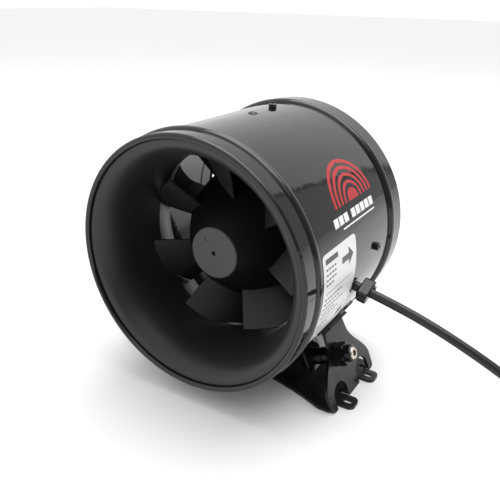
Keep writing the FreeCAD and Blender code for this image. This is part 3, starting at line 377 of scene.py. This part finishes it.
MATERIALS = {
    "black_enamel": gloss_enamel(),
    "bracket_paint": powder_coat("bracket_paint_coat", 0.004, 0.3, 0.36),
    "bell_plastic": satin_moulding("bell_satin", (0.0125, 0.0128, 0.0155), 0.42, 0.46),
    "impeller_plastic": satin_moulding("impeller_satin", (0.008, 0.008, 0.009), 0.5, 0.4),
    # Hub: the blades' satin plastic made near-black and duller, as painted shade for the hub deep inside the
    # bell.
    "hub_plastic_painted_shade": satin_moulding("hub_satin_painted_shade", (0.0025, 0.0025, 0.0028), 0.55, 0.12),
    "vane_plastic": moulded("vane_grain", (0.02, 0.02, 0.022), 0.5, (0.09, 0.09, 0.09)),
    "nose_grey": moulded("nose_grain", (0.034, 0.034, 0.036), 0.5),
    "black_screw": powder_coat("blackened_steel", 0.003, 0.25, 0.4),
    "zinc": plated("zinc_plate", (0.62, 0.56, 0.48), 0.3),
    "shaft_end": plated("oiled_steel", (0.16, 0.16, 0.165), 0.35),
    "bearing_steel": plated("ground_steel", (0.62, 0.63, 0.65), 0.2, (1, 8, 1)),
    "cast_aluminium": plated("turned_aluminium", (0.7, 0.71, 0.72), 0.35),
    "ferrite": moulded("sintered_ferrite", (0.05, 0.05, 0.053), 0.6),
    "lamination": plated("stamped_steel", (0.36, 0.37, 0.39), 0.4, (1, 9, 1)),
    "copper_wire": copper(),
    "board_green": moulded("solder_mask", (0.02, 0.13, 0.05), 0.3),
    "board_black": moulded("chip_black", (0.02, 0.02, 0.022), 0.35),
    "pad_rubber": moulded("pad_grain", (0.014, 0.014, 0.014), 0.7),
    "gland_plastic": satin_moulding("gland_satin", (0.003, 0.003, 0.0032), 0.2, 0.42),
    "lead_jacket": jacket(),
    "plug_plastic": moulded("plug_grain", (0.016, 0.016, 0.017), 0.42),
    "plug_metal": plated("nickel_plate", (0.74, 0.72, 0.68), 0.22),
    "label_film": label_film(),
    "red_ink": ink("red_ink", (0.40, 0.008, 0.010)),
    "white_ink": ink("white_ink", (0.78, 0.78, 0.78)),
    "grey_ink": ink("grey_ink", (0.03, 0.03, 0.033)),
}

# Nodes whose finish differs from the plain material of their slot; the hub's darker finish is painted shade.
FINISHES = {"impeller": "hub_plastic_painted_shade", "shaft": "shaft_end"}
# Bevel widths left by dies, paint and moulds.
SOFT_EDGES = {"bracket": 0.45 * MM, "ear_lugs": 0.3 * MM, "impeller_blades": 0.3 * MM}
SHARP_ANGLE = math.radians(40)


def dress_cad_nodes():
    """Gives every CAD node the material of its slot; the shaft wears a darker finish, and the hub a darker
    one that paints in its shade.
    """
    for entry in frame["record"]["subparts"]:
        node = frame["nodes"][entry["node"]]
        node.data.materials.clear()
        node.data.materials.append(MATERIALS[FINISHES.get(entry["node"], entry["material_slot"])])


def soften_edges():
    """A small rounding on the edges of the bracket, the ear lugs and the blades."""
    for name, width in SOFT_EDGES.items():
        bevel = frame["nodes"][name].modifiers.new("soft_edge", "BEVEL")
        bevel.width = width
        bevel.segments = 2
        bevel.limit_method = "ANGLE"
        bevel.angle_limit = SHARP_ANGLE
        bevel.harden_normals = True


# ---------------------------------------------------------------- mesh helpers

def new_piece(name, vertices, faces, slot, body="fan", smooth=True):
    """A mesh piece that rides on a body and wears its slot's material or an ink."""
    mesh = bpy.data.meshes.new(name)
    mesh.from_pydata(vertices, [], faces)
    mesh.validate()
    if smooth:
        mesh.shade_smooth()
    piece = bpy.data.objects.new(name, mesh)
    bpy.context.collection.objects.link(piece)
    mesh.materials.append(MATERIALS[slot])
    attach(piece, body)
    return piece


# ---------------------------------------------------------------- printed marks on the casing

STRIP_STEP = 0.7


def steps_between(low, high, longest):
    """Evenly spaced values from low to high, none further apart than the longest step."""
    count = max(1, math.ceil((high - low) / longest))
    return [low + (high - low) * k / count for k in range(count + 1)]


def strip_mesh(strips, radius):
    """Thin patches on the casing; each gives its end angles and its edge stations as it runs between them."""
    vertices, faces = [], []
    for low_angle, high_angle, first, last in strips:
        angles = steps_between(low_angle, high_angle, STRIP_STEP)
        for k, angle in enumerate(angles):
            share = k / (len(angles) - 1)
            start = len(vertices)
            vertices.append(on_casing(radius, angle, first(share)))
            vertices.append(on_casing(radius, angle, last(share)))
            if k:
                faces.append((start - 2, start, start + 1, start - 1))
    return vertices, faces


def bar(low_angle, high_angle, first, last):
    """A plain rectangle on the casing, stations in metres."""
    return (low_angle, high_angle, lambda share: first, lambda share: last)


def printed(name, strips, slot, radius):
    """One printed piece made of several strips."""
    vertices, faces = strip_mesh(strips, radius)
    return new_piece(name, vertices, faces, slot)


def arc_band(outer, width, middle, low_angle):
    """A half-ring of one width lying on the casing, open towards its low angle."""
    inner = outer - width

    def reach(radius, share):
        rise = outer * share
        return math.sqrt(max(0.0, radius ** 2 - rise ** 2))

    high_angle = low_angle + math.degrees(outer / CASE_RADIUS)
    left = (low_angle, high_angle,
            lambda share: middle - reach(outer, share),
            lambda share: middle - reach(inner, share))
    right = (low_angle, high_angle,
             lambda share: middle + reach(inner, share),
             lambda share: middle + reach(outer, share))
    return [left, right]


EMBLEM_SKIN = CASE_RADIUS + 0.03 * MM
EMBLEM_MIDDLE = 96 * MM
EMBLEM_LOW = 27.5
# Outer radius and width in mm.
EMBLEM_ARCS = ((33, 3.4), (27, 3.2), (21, 3.0), (15, 2.8), (9, 9))
# First station in mm and number of dashes.
EMBLEM_WORDS = ((54, 3), (84, 5))
EMBLEM_DASH = 7
EMBLEM_PITCH = 8.5


def build_emblem():
    """Generic mark: red arcs one over another, above a broken white line and a thin one."""
    arcs = []
    for outer, width in EMBLEM_ARCS:
        arcs += arc_band(outer * MM, width * MM, EMBLEM_MIDDLE, EMBLEM_LOW)
    printed("emblem_red", arcs, "red_ink", EMBLEM_SKIN)
    dashes = []
    for start, count in EMBLEM_WORDS:
        for k in range(count):
            first = start + EMBLEM_PITCH * k
            dashes.append(bar(20.6, 24.4, first * MM, (first + EMBLEM_DASH) * MM))
    thin_line = bar(18.3, 19.0, 66 * MM, 125 * MM)
    printed("emblem_white", dashes + [thin_line], "white_ink", EMBLEM_SKIN)


LABEL_START = 26 * MM
LABEL_END = 81.8 * MM
LABEL_LOW = -28.5
LABEL_HIGH = 14.5
LABEL_CORNER = 4 * MM
LABEL_CORNER_ANGLE = 2.4
LABEL_BACK = CASE_RADIUS + 0.06 * MM
LABEL_FACE = CASE_RADIUS + 0.26 * MM
LABEL_INK = LABEL_FACE + 0.03 * MM
PRINT_START = 30
PRINT_END = 78
# Rows of dashes: angle, then first and last station in mm.
LABEL_ROWS = (
    (7.6, PRINT_START, 46), (5.4, PRINT_START, 43), (3.2, PRINT_START, 47), (1.0, PRINT_START, 41),
    (-5.6, PRINT_START, 60), (-7.8, PRINT_START, 54), (-10.0, PRINT_START, 62),
    (-12.2, PRINT_START, 50), (-14.4, PRINT_START, 57),
    (-19.0, PRINT_START, 44), (-21.2, PRINT_START, 40),
)
ROW_DASH = 3.1
ROW_PITCH = 4.3
ROW_HEIGHT = 0.75
RULE_ANGLES = (-2.6, -17.0, -23.6)
RULE_HEIGHT = 0.25


def label_edge(angle):
    """How far the label's side edge is drawn in at an angle, for its rounded corners."""
    near = min(angle - LABEL_LOW, LABEL_HIGH - angle)
    arc = math.radians(near) * CASE_RADIUS
    if arc >= LABEL_CORNER:
        return 0.0
    rise = LABEL_CORNER - arc
    return LABEL_CORNER - math.sqrt(max(0.0, LABEL_CORNER ** 2 - rise ** 2))


def label_angles():
    """Angles of the label's cross-sections, closer together at its rounded corners."""
    low_corner = LABEL_LOW + LABEL_CORNER_ANGLE
    high_corner = LABEL_HIGH - LABEL_CORNER_ANGLE
    angles = steps_between(LABEL_LOW, low_corner, 0.3)
    angles += steps_between(low_corner, high_corner, 1.5)[1:]
    angles += steps_between(high_corner, LABEL_HIGH, 0.3)[1:]
    return angles


def build_label_film():
    """Rounded white film in place of the plain CAD label."""
    vertices, faces = [], []
    for angle in label_angles():
        inset = label_edge(angle)
        low, high = LABEL_START + inset, LABEL_END - inset
        start = len(vertices)
        for radius, station in ((LABEL_BACK, low), (LABEL_FACE, low), (LABEL_FACE, high), (LABEL_BACK, high)):
            vertices.append(on_casing(radius, angle, station))
        if start:
            for k in range(4):
                after = (k + 1) % 4
                faces.append((start - 4 + k, start + k, start + after, start - 4 + after))
    last = len(vertices) - 4
    faces.append((0, 1, 2, 3))
    faces.append((last + 3, last + 2, last + 1, last))
    film = new_piece("label_piece", vertices, faces, "label_film", smooth=False)
    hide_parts("rating_label")


def build_label_print():
    """A heading bar, a foot line, rows of plain dashes, thin rules and one block."""
    heading = bar(10.2, 12.4, PRINT_START * MM, 50 * MM)
    foot_line = bar(-26.4, -25.9, PRINT_START * MM, PRINT_END * MM)
    marks = [heading, foot_line]
    for angle, first, last in LABEL_ROWS:
        station = first
        while station < last:
            marks.append(bar(angle, angle + ROW_HEIGHT, station * MM, (station + ROW_DASH) * MM))
            station += ROW_PITCH
    for angle in RULE_ANGLES:
        marks.append(bar(angle, angle + RULE_HEIGHT, PRINT_START * MM, PRINT_END * MM))
    block = bar(-22.6, -19.0, 66 * MM, 76 * MM)
    printed("label_print", marks + [block], "grey_ink", LABEL_INK)


def build_label_arrow():
    """Arrow that points along the air flow."""
    neck, point = 68, 76
    head = point - neck
    shaft = bar(5.4, 8.2, 56 * MM, neck * MM)
    head_low = (2.6, 6.8, lambda share: neck * MM, lambda share: (neck + head * share) * MM)
    head_high = (6.8, 11.0, lambda share: neck * MM, lambda share: (point - head * share) * MM)
    printed("label_arrow", [shaft, head_low, head_high], "grey_ink", LABEL_INK)


def build_seam():
    """Lap of the rolled shell, seen as a short dark line on the inlet band."""
    seam = bar(0.8, 1.25, 4.6 * MM, 16.4 * MM)
    printed("shell_seam", [seam], "black_screw", CASE_RADIUS + 0.04 * MM)


# ---------------------------------------------------------------- mains lead

LEAD_RADIUS = 3.65 * MM
# Straight out of the gland, down in a bow to the floor, then along it to the coil.
LEAD_ROUTE = [
    on_casing(107.5 * MM, GLAND_ANGLE, GLAND_STATION),
    on_casing(140 * MM, GLAND_ANGLE, GLAND_STATION),
    Vector((0.181, -0.001, 0.0708)),
    Vector((0.224, -0.0015, 0.0520)),
    Vector((0.262, -0.003, 0.0300)),
    Vector((0.300, -0.007, 0.0082)),
    Vector((0.335, -0.014, 0.0037)),
    Vector((0.370, -0.0175, 0.0037)),
]
COIL_CENTRE = Vector((392 * MM, 30 * MM, 0))
TURNS = 6
HALF = TURNS // 2
STEPS = 14
OUTER_TURN = 47.5 * MM
PITCH = 7.5 * MM
FLOOR_GAP = 0.05 * MM
START_ANGLE = math.radians(-90)
# The last quarter of each turn leads over to the next one.
CROSSING = 0.25
ROUNDING = 1e-9


def crossing_share(part):
    """How far the cord has gone over to the next turn, eased at both ends."""
    shift = max(0.0, (part - (1.0 - CROSSING)) / CROSSING)
    return shift * shift * (3 - 2 * shift)


def coil_place(turn):
    """Pitches inwards from the outer turn, and layers up, after a number of turns."""
    whole = math.floor(turn + ROUNDING)
    shift = crossing_share(turn - whole)
    if turn < HALF:
        inward = min(whole + (shift if whole < HALF - 1 else 0.0), HALF - 1)
        lift = shift if whole == HALF - 1 else 0.0
        return inward, lift
    outward = min(whole - HALF + (shift if whole < TURNS - 1 else 0.0), HALF - 1)
    return HALF - 1 - outward, 1.0


def coil_points():
    """Three turns inwards on the floor, then three turns outwards on top of them."""
    points = []
    # The curve runs inside the corners of its control polygon, so the points stand a little further out.
    corner = 1 / math.cos(math.pi / STEPS) ** 2
    outset = 1 + (corner - 1) / 2
    for k in range(TURNS * STEPS + 1):
        turn = k / STEPS
        inward, lift = coil_place(turn)
        radius = (OUTER_TURN - PITCH * inward) * outset
        angle = START_ANGLE + 2 * math.pi * turn
        height = LEAD_RADIUS + FLOOR_GAP + lift * PITCH
        points.append(COIL_CENTRE + Vector((radius * math.cos(angle), radius * math.sin(angle), height)))
    return points


def build_lead():
    """The whole mains lead as one curve, from the gland to the end of the coil."""
    points = LEAD_ROUTE + coil_points()
    curve = bpy.data.curves.new("mains_lead_curve", "CURVE")
    curve.dimensions = "3D"
    curve.bevel_depth = LEAD_RADIUS
    curve.bevel_resolution = 8
    curve.use_fill_caps = True
    curve.resolution_u = 8
    spline = curve.splines.new("NURBS")
    spline.points.add(len(points) - 1)
    for spot, point in zip(spline.points, points):
        spot.co = (*point, 1.0)
    spline.order_u = 3
    spline.use_endpoint_u = True
    curve.materials.append(MATERIALS["lead_jacket"])
    lead = bpy.data.objects.new("mains_lead_curve", curve)
    bpy.context.collection.objects.link(lead)
    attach(lead, "fan")
    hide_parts("mains_lead", "lead_coil")


# ---------------------------------------------------------------- finish

bpy.context.scene.view_settings.view_transform = "Standard"
build_camera()
build_lead()
build_world()
build_stage()
area_light("softbox", place=(0.1, 0.35, 1.5), target=(0, 0, 0.1), size_x=1.6, size_y=1.2, power=20.0)
dress_cad_nodes()
soften_edges()
build_emblem()
build_label_film()
build_label_print()
build_label_arrow()
build_seam()
